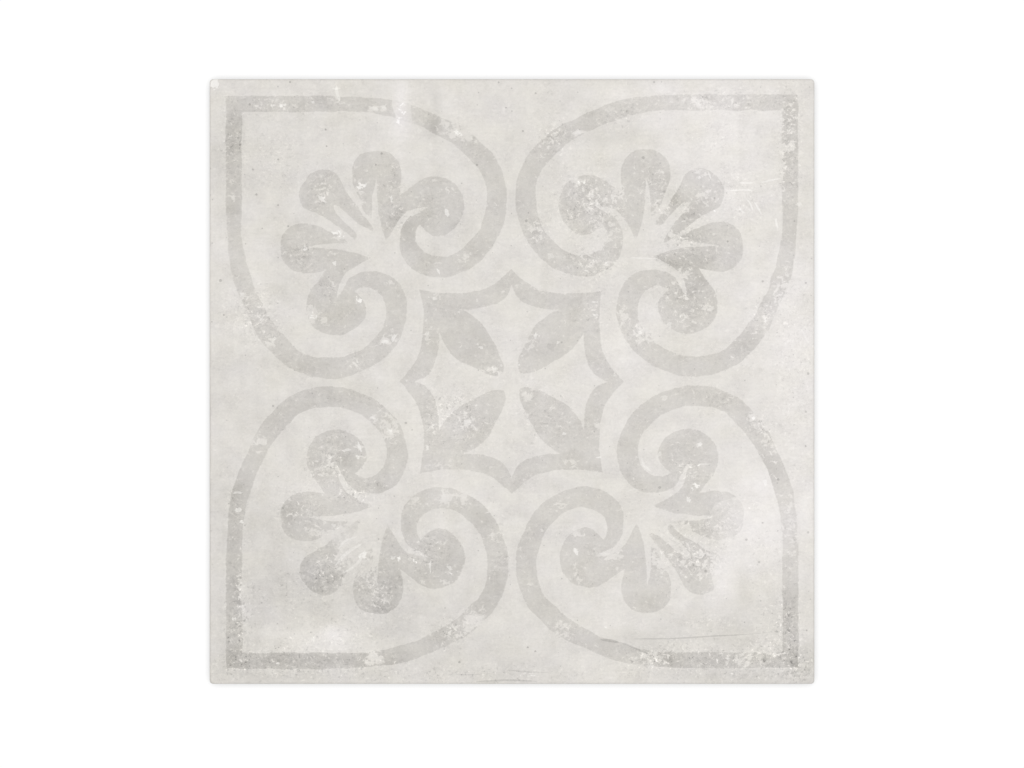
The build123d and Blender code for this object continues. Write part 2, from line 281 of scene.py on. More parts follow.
# Where the glaze is sandy: 1 is the coarsest.
GRIT = (
    (-92, 79, 3.5, 11, 0.7), (-77, 91.8, 14, 3, 0.5), (-78, 74, 9, 10, 0.35), (-62, 65, 5, 6, 0.5),
    (-39, 66, 3, 6, 0.6), (-39, 55, 4, 6, 0.7), (-69, 42, 4, 5, 0.7), (-84, 21, 7, 9, 0.9, 40),
    (-60.5, 30, 4, 4, 0.8), (-51, 6, 4, 3, 0.5), (-27.5, 57.5, 4, 5, 0.6), (-60, -25, 7, 7, 0.8),
    (-52, -37, 6, 4, 1), (-70, -42, 7, 6, 0.9), (-62, -63, 6.5, 7, 1.3), (-44, -69, 6, 9, 1),
    (-91, -75, 4, 16, 0.9), (-70, -92, 25, 4, 0.8), (-91, -42, 3, 6, 0.8), (-28.5, -57.5, 6, 6.5, 1),
    (-21, -83, 6, 4, 0.8), (-4, -56, 3, 8, 0.5), (-76, -70, 10, 6, 0.4), (-60, -84, 16, 6, 0.5),
    (-30, -97, 70, 3, 0.5), (-26, -12, 4, 9, 0.6), (-15, -12, 7, 9, 0.7), (-21, -8, 4, 3, 0.7),
    (12, -11, 9, 9, 0.45), (-7, 5, 4, 3, 0.6), (26, 22, 5, 6, 0.4), (14, 81, 6, 5, 0.9),
    (36, 89.5, 8, 4, 0.6), (8, 50, 4, 5, 0.8), (26, 38, 9, 4, 0.8), (25, 59, 9, 10, 1.1),
    (46, 64, 5, 9, 0.5), (55, 60, 4, 5, 0.7), (59, 54, 4, 3, 0.7), (56, 47, 6, 3, 0.9),
    (53, 40, 6, 3, 0.7), (92, 84, 3.5, 11, 1), (92.5, 66, 3, 8, 0.5), (72, 93, 19, 3.4, 0.65),
    (76, 62, 10, 10, 0.5), (68, 81, 8, 5, 0.5), (57, 27, 8, 7, 0.8), (42, 15, 5, 4, 0.6),
    (83, 22, 5, 6, 0.6), (94, 5, 6, 30, 0.5), (75, 9, 6, 4, 0.4), (68, -6, 5, 4, 0.6),
    (82, -15, 5, 5, 0.6), (58, -30, 6, 4, 0.7), (59, -57, 9, 9, 0.75), (70, -46, 5, 6, 0.6),
    (84, -58, 8, 10, 0.35), (92, -82, 3.5, 14, 1.2), (66, -80, 8, 3, 0.6), (86, -78, 5, 5, 0.7),
    (56, -87, 8, 3, 0.6), (84, -87, 8, 4, 0.7), (66, -92, 18, 3.4, 1.1), (87, -92, 9, 3, 0.9),
    (95, -94, 5, 5, 1), (45.5, -91, 7, 3, 1.3), (80, -97, 18, 3, 0.6), (18, -82, 5, 4, 0.4),
    (92, 70, 3.5, 8, 0.5), (-69, 43, 2.4, 3, 0.5), (62, 41, 6, 3, 0.4), (62, 45, 8, 6, 0.4),
    (-44.5, -33.3, 2.4, 1.4, 0.6), (-91, -84, 4, 10, 0.6), (-82, -92, 12, 3.5, 0.6),
)
PAINTED = {"cloud": CLOUDS, "ink": INK, "wear": WEAR, "bare": BARE, "grit": GRIT}
# Where the face is knocked lower: the amount is the depth in mm.
DENTS = ((-98.9, 98.9, 1.8, 1.6, 0.3),)

# Where slip was washed over the print, with a hard edge: the outline's points, and the share of print left
THINNED = (
    (((-39, 97), (-33.2, 97), (-33.4, 91), (-33.9, 83), (-40, 82.5), (-38.4, 87), (-39.6, 91)), 0.35),
    (((-97, 55), (-88, 54.6), (-85, 40), (-85, 28), (-97, 28)), 0.86),
    (
        ((67.5, -40), (77, -38), (77, -60), (67, -60), (65.4, -53), (66.4, -49.5), (64.9, -46), (66.2, -42)),
        0.55,
    ),
    (((67, -60), (77, -60), (77, -76), (65.5, -76), (67.2, -70), (66.2, -65)), 0.25),
    (((-60.5, -50), (-52, -46.5), (-46, -49.5), (-47, -57), (-49, -64), (-54.5, -62), (-58, -56.5)), 0.52),
)
# Single marks in the face. A pit is (across, up, radius).
PITS = (
    (-96.4, 33.4, 0.5), (-86.7, 91.6, 0.4), (-90.5, 80.5, 0.45), (-89.9, 78.3, 0.4), (-61.6, 83.3, 0.35),
    (-77.3, 73.4, 0.35), (-85.7, 70.1, 0.35), (-84.5, 61.8, 0.4), (-77.3, 58.3, 0.35), (-61.3, 77.8, 0.3),
    (-43.1, 75.4, 0.4), (-45, 71.7, 0.3), (-73.4, 99, 0.35), (-74, 51.3, 0.35), (-95.3, 22, 0.35),
    (-79, -8.1, 0.35), (-35.1, -13.7, 0.45), (97.1, 32.6, 0.35), (97.9, 2.6, 0.45), (97.1, -10, 0.4),
    (97.1, -21.4, 0.35), (88, -32.4, 0.45), (48.8, -35, 0.5), (97.9, -49.9, 0.4), (91.3, -77.1, 0.45),
    (77.5, -52.3, 0.4), (82.8, -46.7, 0.35), (81.7, -59.7, 0.4), (64, -62.7, 0.5), (97.4, -82.3, 0.3),
    (-17.4, -92.8, 0.4), (5.2, -87.9, 0.35), (7.7, -89.2, 0.35), (43.4, 74, 0.5), (47, 99, 0.4),
    (67, 60.6, 0.35), (71.3, 46.3, 0.35), (82.9, 33.1, 0.4), (-4.4, 98.9, 0.35), (7.8, 95.3, 0.35),
    (-11.6, 71.6, 0.4), (4.7, 53.1, 0.45), (-2, 90.5, 0.3), (3.6, 82.8, 0.35),
)
PIT_DEPTH = 0.2
PIT_AMOUNT = -0.28
# A fleck is (across, up, half width, half height, amount), and a turn in degrees where it lies askew. A
# mark's amount is the share of the engobe that it bares, or below 0 how much darker than the glaze it is.
FLECKS = (
    (-39.9, 60.2, 0.45, 1.0, 0.85, 10), (-21.5, 55.8, 0.6, 1.4, 0.85, 12),
    (-62.8, 60.3, 0.7, 1.5, 0.8, 42), (-68.4, 44.1, 0.6, 0.7, 0.85), (-58.7, 39.2, 0.8, 0.8, 0.9),
    (-51.3, 27, 0.4, 1.7, 0.4, -8), (-42, 13.2, 1.2, 0.5, 0.9), (-39.1, 14.4, 0.6, 1.4, 0.85, -30),
    (-65.7, 92.4, 0.6, 0.4, 0.7), (-10.3, 11.3, 0.8, 0.45, 0.75), (17.3, -17.2, 0.8, 0.45, 0.75),
    (27.3, 26.3, 1.0, 0.35, 0.65), (27.6, 22, 1.1, 0.4, 0.55), (62.2, -20.7, 0.8, 0.8, 0.85),
    (83.7, -33.4, 0.7, 0.9, 0.55, 25), (21.2, -56.2, 0.7, 1.4, 0.9, 10), (30.3, -57, 2.2, 0.4, 0.4),
    (94.6, -96.4, 0.7, 0.4, 0.8), (-65.7, -85.1, 0.6, 0.6, 0.45), (-39.4, -58.2, 0.8, 0.6, 0.75),
    (52, 18.7, 0.7, 1.1, 0.55), (12.7, 41.4, 1.1, 0.9, 0.4), (-90.5, -36.7, 1.8, 0.4, 0.85),
    (-90.6, -42.4, 1.1, 0.7, 0.85), (-89.4, -46.4, 0.7, 0.5, 0.95), (-91.8, -78.6, 0.7, 0.6, 0.85),
    (-73.4, -58.9, 0.5, 0.6, 0.5), (-50.3, -22, 0.45, 1.8, 0.85, 15), (-51, -25, 0.7, 0.6, 0.8),
    (-54.7, -22.7, 1.4, 0.5, 0.75, 10), (-27, -61, 0.4, 1.8, 0.75), (-20.4, -61.7, 0.9, 0.6, 0.75, -30),
    (58.5, -39, 0.7, 0.8, 0.85), (48.8, -24.2, 0.8, 0.7, 0.45, 30), (64, -27.3, 2.2, 0.3, 0.45),
    (94.9, 58.6, 1.0, 0.6, 0.55), (15.3, 13, 0.7, 0.5, 0.6, 30), (13, 11.7, 1.2, 1.0, -0.1),
    (26.5, 61.4, 0.5, 1.2, 0.55), (28.2, 58.6, 1.0, 0.5, 0.55, 20), (62, 67.3, 0.5, 0.5, 0.55),
    (65.3, 68.2, 0.4, 1.3, 0.6, 25), (22, 82.4, 0.9, 0.9, 0.4), (-79, 91.3, 0.8, 0.5, 0.6),
    (-75.8, 91.4, 1.2, 0.5, 0.75, 15), (-45.5, 90.2, 1.3, 0.6, 0.5), (-42.3, 90.6, 0.8, 0.8, 0.4),
    (-78.6, 14.1, 0.7, 0.7, 0.55), (-89.3, 28.5, 0.7, 0.9, 0.45), (-24.4, 36.6, 0.4, 0.9, 0.8, 25),
    (-25.6, 27.4, 0.7, 0.6, 0.5), (-28, 16, 0.8, 0.6, 0.55), (-5.8, 4.3, 1.0, 0.5, 0.6, 20),
    (-3.6, 5.3, 0.4, 0.5, 0.55), (7.8, 15.2, 0.5, 1.1, 0.75, -20), (2.4, 5.5, 0.4, 0.4, 0.65),
    (-15, -13.4, 1.2, 0.8, 0.45), (-28, -22, 0.5, 0.9, 0.75), (28.6, -25.1, 0.9, 0.3, 0.75),
    (-46, -12, 1.0, 0.4, 0.55, -20), (-40.4, -16.6, 1.6, 0.6, 0.6, -50), (46, -94, 1.0, 0.4, 0.55, 10),
    (-77.4, -93.2, 0.5, 0.4, 1), (-30.6, 82.9, 0.8, 0.7, 0.35), (-26.8, 78.4, 0.5, 0.5, 0.35),
    (87.4, 52.2, 0.45, 1.8, 0.3, 12), (-59, -47.5, 0.7, 0.5, 0.55),
)
# A stroke is its points, its width and its amount: hairlines are dark, scratches pale.
STROKES = (
    (((40, -85.1), (52, -85), (66, -84.2), (78, -83.6)), 0.5, -0.19),
    (((77, -83.7), (84, -83), (89.7, -82.6)), 0.35, -0.08),
    (((29.2, -85.3), (32, -85.6), (35.4, -86.2)), 1.0, -0.2),
    (((34, -85.9), (38, -87), (42, -88.8), (45.5, -90.2)), 0.6, -0.16),
    (((-12, -99.2), (-2, -98.8), (8.5, -99.1)), 0.7, -0.18),
    (((-19, -96.7), (-14, -96.9), (-9, -96.6)), 0.4, -0.1),
    (((-2, -95.3), (5, -96), (12, -96.2)), 0.5, -0.12),
    (((-89, 69), (-85, 67), (-81, 65.5), (-79, 66.2)), 0.5, -0.04),
    (((71, 63), (75.5, 63.3), (80, 63.2)), 0.6, 0.8),
    (((75, 65.8), (77.5, 65.6), (80, 65.7)), 0.5, 0.8),
    (((82, 65.7), (86, 66.6), (89, 67.2)), 0.6, 0.75),
    (((80, 59.5), (81.3, 57.5), (82.5, 55.1)), 0.6, 0.8),
    (((87.3, 54), (87.4, 52.2), (88, 50.7)), 0.7, 0.7),
    (((75, 58), (75.8, 56.6), (77, 55.6)), 0.6, 0.8),
    (((77.5, 60.5), (79, 58.4), (79.6, 56.4)), 0.5, 0.8),
    (((-58, 98), (-58, 96.6), (-57.6, 94.6), (-56.8, 92.6)), 1.0, 0.7),
    (((-59.6, 96.9), (-58, 96.8), (-56.6, 97)), 0.7, 0.7),
    (((39, 41), (43, 40.8), (48, 40.6)), 0.6, 0.6),
    (((42.8, -25), (43.6, -27.5), (46, -29.8)), 0.9, 0.5),
    (((96, 17), (97, 14.5), (98.2, 12.6)), 0.6, 0.4),
    (((37.5, -36.6), (40.5, -35.6), (43, -36)), 0.6, 0.35),
    (((-28.4, -16.6), (-26.5, -14.6), (-24.4, -14.2)), 0.5, 0.45),
    (((-58.5, -61), (-55, -57), (-49.5, -53.5)), 1.1, 0.6),
    (((-56, -63.5), (-51, -60), (-48.5, -55.5)), 0.9, 0.6),
    (((-57.5, -55.6), (-55.5, -53), (-51, -51.2)), 0.7, 0.5),
)


def linear(hex_code):
    """Linear red, green, blue and alpha of an sRGB hex colour."""
    channels = [int(hex_code[i : i + 2], 16) / 255 for i in (1, 3, 5)]
    return (*Color(channels).from_srgb_to_scene_linear(), 1.0)


class PatternedTileSettings(bpy.types.PropertyGroup):
    """Sizes and colours of the tile."""

    corner_radius: bpy.props.FloatProperty(
        name="Corner radius",
        description="Round of the tile's corners, seen from above",
        default=1.2 * MM,
        min=0.9 * MM,
        unit="LENGTH",
    )
    arris_radius: bpy.props.FloatProperty(
        name="Arris radius",
        description="Round where the face turns down into the edge",
        default=0.6 * MM,
        max=0.8 * MM,
        unit="LENGTH",
    )
    back_bevel: bpy.props.FloatProperty(
        name="Back bevel", description="Bevel round the back", default=0.8 * MM, max=0.8 * MM, unit="LENGTH"
    )
    key_pitch: bpy.props.FloatProperty(
        name="Key pitch", description="From one key to the next", default=18.4 * MM, unit="LENGTH"
    )
    key_side: bpy.props.FloatProperty(
        name="Key side", description="Side of a key at its mouth", default=14.8 * MM, unit="LENGTH"
    )
    key_depth: bpy.props.FloatProperty(
        name="Key depth", description="Depth of a key", default=0.7 * MM, unit="LENGTH"
    )
    key_draft: bpy.props.FloatProperty(
        name="Key draft",
        description="Lean of a key's walls from upright",
        default=math.radians(35),
        subtype="ANGLE",
    )
    key_floor_radius: bpy.props.FloatProperty(
        name="Key floor radius", description="Corners of a key's floor", default=2.0 * MM, unit="LENGTH"
    )
    keys_each_way: bpy.props.IntProperty(name="Keys each way", description="Keys in a row", default=10)
    swell: bpy.props.FloatProperty(
        name="Swell", description="Depth of the face's soft unevenness", default=0.08 * MM, unit="LENGTH"
    )
    age: bpy.props.FloatProperty(
        name="Age",
        description="Strength of the clouds, wear and grit",
        default=1.0,
        max=1.5,
        subtype="FACTOR",
    )
    ground_colour: bpy.props.FloatVectorProperty(
        name="Ground",
        description="Glaze between the ornament",
        default=linear("#E1DDD7"),
        size=4,
        subtype="COLOR",
    )
    ornament_colour: bpy.props.FloatVectorProperty(
        name="Ornament",
        description="Print where it is densest",
        default=linear("#C0BCB6"),
        size=4,
        subtype="COLOR",
    )
    engobe_colour: bpy.props.FloatVectorProperty(
        name="Engobe", description="White slip below it", default=linear("#F6F3EE"), size=4, subtype="COLOR"
    )
    body_colour: bpy.props.FloatVectorProperty(
        name="Body", description="Bare fired body", default=linear("#D3CCC0"), size=4, subtype="COLOR"
    )


class TileStageSettings(bpy.types.PropertyGroup):
    """Camera, light and floor round the tile."""

    lens: bpy.props.FloatProperty(name="Lens", description="Focal length", default=120.0, unit="CAMERA")
    lamp_size: bpy.props.FloatProperty(
        name="Softbox size", description="Across the softbox", default=0.35, unit="LENGTH"
    )
    lamp_height: bpy.props.FloatProperty(
        name="Softbox height", description="From the face up to the softbox", default=1.3, unit="LENGTH"
    )
    lamp_share: bpy.props.FloatProperty(
        name="Softbox light",
        description="Share of the light on the face, where 1 in all renders a colour as it is written",
        default=0.525,
        subtype="FACTOR",
    )
    sky_share: bpy.props.FloatProperty(
        name="Sky light",
        description="Share of the light on the face that comes from all round",
        default=0.45,
        subtype="FACTOR",
    )
    floor_colour: bpy.props.FloatVectorProperty(
        name="Floor",
        description="Paper that the tile lies on",
        default=linear("#E6E6E6"),
        size=4,
        subtype="COLOR",
    )


def add(tree, kind, inputs=(), **settings):
    """Adds a node with its settings and links.

    An input takes a value, a socket, or a node, which stands for its first output in use.
    """
    node = tree.nodes.new(kind)
    for name, value in settings.items():
        setattr(node, name, value)
    for key, value in inputs.items() if isinstance(inputs, dict) else enumerate(inputs):
        if isinstance(value, bpy.types.Node):
            value = next(socket for socket in value.outputs if socket.enabled)
        if isinstance(value, bpy.types.NodeSocket):
            tree.links.new(value, node.inputs[key])
        else:
            node.inputs[key].default_value = value
    return node


SOFT = {"interpolation_type": "SMOOTHSTEP"}
PATTERN_MIDDLE = 0.5  # about which a pattern swings
CERAMIC_IOR = 1.5  # typical of a glaze and of the body under it


def lay_patterns(tree, place, patterns):
    """Lays patterns of marks at their real sizes, and returns them by name."""
    layer = {}
    for name, (*size, detail, roughness, distortion) in patterns.items():
        marks_per_metre = [1 / (length * MM) for length in size]
        spread = add(tree, "ShaderNodeVectorMath", (place, marks_per_metre), operation="MULTIPLY")
        look = {"Scale": 1.0, "Detail": detail, "Roughness": roughness, "Distortion": distortion}
        layer[name] = add(tree, "ShaderNodeTexNoise", {"Vector": spread, **look}).outputs[0]
    return layer


def pulled(tree, layer, shares, start):
    """A start value, pulled by each named layer as far as its share says."""
    for name, share in shares.items():
        start = add(tree, "ShaderNodeMath", (layer[name], share, start), operation="MULTIPLY_ADD")
    return start


# Patterns of the glaze: width, height and depth of a mark in mm, then detail, roughness and distortion.
GLAZE_PATTERNS = {
    "mottle": (5.5, 5.0, 5.5, 6.0, 0.62, 0.3),  # soft blotches
    "sweeps": (16.0, 2.8, 16.0, 3.0, 0.5, 0.0),  # wide strokes across the tile
    "runs": (2.6, 16.0, 2.6, 3.0, 0.5, 0.0),  # and down it
    "brushing": (9.0, 0.8, 9.0, 2.0, 0.5, 0.0),  # fine strokes across
    "trails": (0.8, 7.0, 0.8, 2.0, 0.5, 0.0),  # and down
    "patch": (9.0, 9.0, 9.0, 3.0, 0.5, 0.0),  # where the glaze is sandier
    "sand": (1.0, 0.9, 1.0, 2.0, 0.6, 0.8),  # grains, drawn coarser than real ones so that they show
    "crumb": (0.9, 0.8, 0.9, 2.0, 0.6, 0.0),  # nibbles along the print's edge
    "flake": (1.8, 1.6, 1.8, 4.0, 0.65, 0.6),  # flakes that the print has lost
    "crinkle": (2.4, 2.0, 2.4, 3.0, 0.6, 1.2),  # hair-thin curled marks, wherever it crosses a value
    "warmth": (12.0, 9.0, 12.0, 2.0, 0.5, 0.0),  # faintly warmer and cooler areas
}
# How far each pattern pulls the tone either way
TONE_SHARES = {"mottle": 0.22, "sweeps": 0.06, "runs": 0.07, "brushing": 0.05, "trails": 0.03, "sand": 0.195}
SANDY_FROM, SANDY_TO = 0.42, 0.66  # of the patch pattern
PRINT_DENSITY = 0.53  # of the ornament's full colour
NIBBLE = 1.2  # reach of the crumbs into the print, in mm
NIBBLED_FROM, NIBBLED_TO = 0.36, 0.9  # from the print's outline inwards, in mm
FLAKED_FROM, FLAKED_TO = 0.62, 0.72  # of the flake pattern, where the print is gone
BARED_FROM, BARED_TO = 0.80, 0.88  # and where the engobe shows
FLAKE_PULLS = {"wear": 0.35, "sandy": 0.05}  # that bring the flake pattern nearer to the first
BARE_PULLS = {"bare": 0.41}  # and to the second
MARK_BARES = 0.7  # of the engobe, in a full pale mark
DARK_GRAIN = (0.38, 0.28, -1.0)  # sand pattern where a grain starts and is full, and which way it pulls
PALE_GRAIN = (0.62, 0.72, 1.0)
GRAIN_SHARES = {"sandy": 0.05, "cover": 0.03, "grit": 0.34}  # strength of the grains, by what lies there
LEAST_GRAIN = 0.005
BLOTCH_SHARES = {"cover": 0.12, "grit": 0.5}  # and of the blotches between them
LEAST_BLOTCH = 0.04
CRINKLES = ((0.5, 1.0), (0.55, -1.0))  # value of that pattern along a mark, and which way it pulls
CRINKLE_WIDTH = 0.03
CRINKLE_SHARES = {"sandy": 0.03, "cover": 0.03, "grit": 0.1}
LEAST_CRINKLE = 0.01
PINHOLE_PITCH = 5.5
PINHOLE_RADIUS = 0.33  # of the largest, in mm
PINHOLE_CHANCE = 0.5
PINHOLE_RIM = 0.15
PINHOLE_TONE = -0.25
WARMTH = 0.04  # of the blue, either way
CLOUD_COOLS = 0.22  # more blue in a pale cloud, as a share of its lightness
SMOOTH_GLAZE, SANDY_GLAZE = 0.52, 0.68  # roughness of a matt glaze
GLAZE_RELIEF = 0.05  # in mm
GLAZE_BUMP = 0.4  # share of that relief which shows


def worn_print(tree, layer):
    """How much of the print covers the glaze: nibbled at its edge, flaked off where it is worn."""
    nibbled = add(tree, "ShaderNodeMath", (layer["crumb"], NIBBLE, layer["rim"]), operation="MULTIPLY_ADD")
    edge = {"Value": nibbled, "From Min": NIBBLED_FROM, "From Max": NIBBLED_TO}
    inside = add(tree, "ShaderNodeMapRange", edge, **SOFT)
    worn = pulled(tree, layer, FLAKE_PULLS, layer["flake"])
    lost = {"Value": worn, "From Min": FLAKED_TO, "From Max": FLAKED_FROM}
    kept = add(tree, "ShaderNodeMapRange", lost, **SOFT)
    cover = add(tree, "ShaderNodeMath", (inside, kept), operation="MULTIPLY")
    return add(tree, "ShaderNodeMath", (cover, layer["print"]), operation="MULTIPLY")


def glaze_tone(tree, layer):
    """Lightness of the glaze: patterns, clouds and dark marks, then what shows more where it is sandy."""
    tone = pulled(tree, layer, TONE_SHARES, 1 - PATTERN_MIDDLE * sum(TONE_SHARES.values()))
    dark_mark = add(tree, "ShaderNodeMath", (layer["mark"], 0.0), operation="MINIMUM")
    for change in (layer["cloud"], dark_mark):
        tone = add(tree, "ShaderNodeMath", (tone, change), operation="ADD")

    strength = pulled(tree, layer, GRAIN_SHARES, LEAST_GRAIN)
    for start, full, way in (DARK_GRAIN, PALE_GRAIN):
        reach = {"Value": layer["sand"], "From Min": start, "From Max": full, "To Max": way}
        grain = add(tree, "ShaderNodeMapRange", reach)
        tone = add(tree, "ShaderNodeMath", (grain, strength, tone), operation="MULTIPLY_ADD")

    strength = pulled(tree, layer, CRINKLE_SHARES, LEAST_CRINKLE)
    for value, way in CRINKLES:
        off = add(tree, "ShaderNodeMath", (layer["crinkle"], value), operation="SUBTRACT")
        off = add(tree, "ShaderNodeMath", (off,), operation="ABSOLUTE")
        reach = {"Value": off, "From Min": CRINKLE_WIDTH, "From Max": 0.0, "To Max": way}
        line = add(tree, "ShaderNodeMapRange", reach)
        tone = add(tree, "ShaderNodeMath", (line, strength, tone), operation="MULTIPLY_ADD")

    strength = pulled(tree, layer, BLOTCH_SHARES, LEAST_BLOTCH)
    centred = add(tree, "ShaderNodeMath", (layer["flake"], PATTERN_MIDDLE), operation="SUBTRACT")
    return add(tree, "ShaderNodeMath", (centred, strength, tone), operation="MULTIPLY_ADD")


def pinholes(tree, place):
    """Small round holes, one in about every other cell of a loose net: 1 inside a hole, 0 outside."""
    net = {"Vector": place, "Scale": 1 / (PINHOLE_PITCH * MM)}
    cells = add(tree, "ShaderNodeTexVoronoi", net, voronoi_dimensions="2D")
    chance = add(tree, "ShaderNodeSeparateColor", (cells.outputs["Color"],))
    largest = {"Value": chance, "From Min": PINHOLE_CHANCE, "To Max": PINHOLE_RADIUS / PINHOLE_PITCH}
    size = add(tree, "ShaderNodeMapRange", largest)
    depth = add(tree, "ShaderNodeMath", (size, cells.outputs["Distance"]), operation="SUBTRACT")
    return add(tree, "ShaderNodeMapRange", {"Value": depth, "From Max": PINHOLE_RIM / PINHOLE_PITCH})


def matt_printed_glaze(settings):
    """Matt glaze of a porcelain tile over a screen print, fired on and then rubbed, flaked and pitted."""
    # To the eye it is dry and has no clear reflection. It is sandy and clouded, as old cement is.
    material = bpy.data.materials.new("matt_printed_glaze")
    material.use_nodes = True
    tree = material.node_tree
    shader = tree.nodes["Principled BSDF"]
    shader.inputs["IOR"].default_value = CERAMIC_IOR
    place = add(tree, "ShaderNodeTexCoord").outputs["Object"]
    layer = lay_patterns(tree, place, GLAZE_PATTERNS)
    for name in ("print", "rim", "mark", *PAINTED):
        layer[name] = add(tree, "ShaderNodeAttribute", attribute_name=name).outputs["Fac"]
    sandy = {"Value": layer["patch"], "From Min": SANDY_FROM, "From Max": SANDY_TO}
    layer["sandy"] = add(tree, "ShaderNodeMapRange", sandy, **SOFT).outputs[0]
    layer["cover"] = worn_print(tree, layer).outputs[0]

    # The print tints the glaze, and the deepest flakes go down to the white engobe.
    density = add(tree, "ShaderNodeMath", (layer["ink"], PRINT_DENSITY), operation="ADD")
    tint = add(tree, "ShaderNodeMath", (layer["cover"], density), operation="MULTIPLY")
    printed = {0: tint, 6: settings.ground_colour, 7: settings.ornament_colour}
    colour = add(tree, "ShaderNodeMix", printed, data_type="RGBA")
    deep = pulled(tree, layer, BARE_PULLS, layer["flake"])
    reach = {"Value": deep, "From Min": BARED_FROM, "From Max": BARED_TO}
    bared = add(tree, "ShaderNodeMapRange", reach, **SOFT)
    scratched = add(tree, "ShaderNodeMath", (layer["mark"], MARK_BARES), operation="MULTIPLY")
    bared = add(tree, "ShaderNodeMath", (bared, scratched), operation="MAXIMUM")
    colour = add(tree, "ShaderNodeMix", {0: bared, 6: colour, 7: settings.engobe_colour}, data_type="RGBA")

    tone = glaze_tone(tree, layer)
    tone = add(tree, "ShaderNodeMath", (pinholes(tree, place), PINHOLE_TONE, tone), operation="MULTIPLY_ADD")
    toned = add(tree, "ShaderNodeVectorMath", {0: colour, "Scale": tone}, operation="SCALE")
    warm = {"Value": layer["warmth"], "To Min": 1 - WARMTH, "To Max": 1 + WARMTH}
    pale = add(tree, "ShaderNodeMath", (layer["cloud"], 0.0), operation="MAXIMUM")
    cool = (pale, CLOUD_COOLS, add(tree, "ShaderNodeMapRange", warm))
    blue = add(tree, "ShaderNodeMath", cool, operation="MULTIPLY_ADD")
    cast = add(tree, "ShaderNodeCombineXYZ", (1.0, 1.0, blue))
    toned = add(tree, "ShaderNodeVectorMath", (toned, cast), operation="MULTIPLY")
    tree.links.new(toned.outputs[0], shader.inputs["Base Color"])

    # Sand and lost flakes roughen it.
    gloss = {"Value": layer["sandy"], "To Min": SMOOTH_GLAZE, "To Max": SANDY_GLAZE}
    tree.links.new(add(tree, "ShaderNodeMapRange", gloss).outputs[0], shader.inputs["Roughness"])
    height = add(tree, "ShaderNodeMath", (layer["sand"], layer["flake"]), operation="ADD")
    relief = {"Height": height, "Strength": GLAZE_BUMP, "Distance": GLAZE_RELIEF * MM}
    tree.links.new(add(tree, "ShaderNodeBump", relief).outputs[0], shader.inputs["Normal"])
    return material


# Patterns of the bare body, in the same form
BODY_PATTERNS = {
    "clay": (9.0, 9.0, 9.0, 4.0, 0.55, 0.0),  # uneven firing
    "chalk": (0.9, 0.9, 0.9, 3.0, 0.6, 0.0),  # pressed granules, drawn coarser than real so that they show
    "scoring": (0.7, 0.7, 9.0, 2.0, 0.5, 0.0),  # upright marks that the die leaves on the edge
    "wash": (3.2, 3.2, 3.2, 4.0, 0.65, 0.5),  # kiln wash that sticks to the ribs of the back
    "lap": (5.0, 5.0, 5.0, 4.0, 0.6, 0.0),  # ragged lower end of the glaze on the edge
}
BODY_SHARES = {"clay": 0.16, "chalk": 0.2, "scoring": 0.1}
WASH_FROM, WASH_TO = 0.5, 0.62  # of the wash pattern
WASH_COVER = 0.75
WASH_REACH = 0.12  # up from the bedding plane, in mm
LAP_DEPTH = 1.6  # of the glaze down the edge, in mm
LAP_RAGGED = 3.6
LAP_FADE = 0.25
IRON_PITCH = 2.5
IRON_RADIUS = 0.3  # of the largest speck, in mm
IRON_TONE = -0.35
DENSE_BODY, DRY_BODY = 0.74, 0.9  # roughness of bare porcelain
BODY_RELIEF = 0.08  # in mm
BODY_BUMP = 0.5  # share of that relief which shows


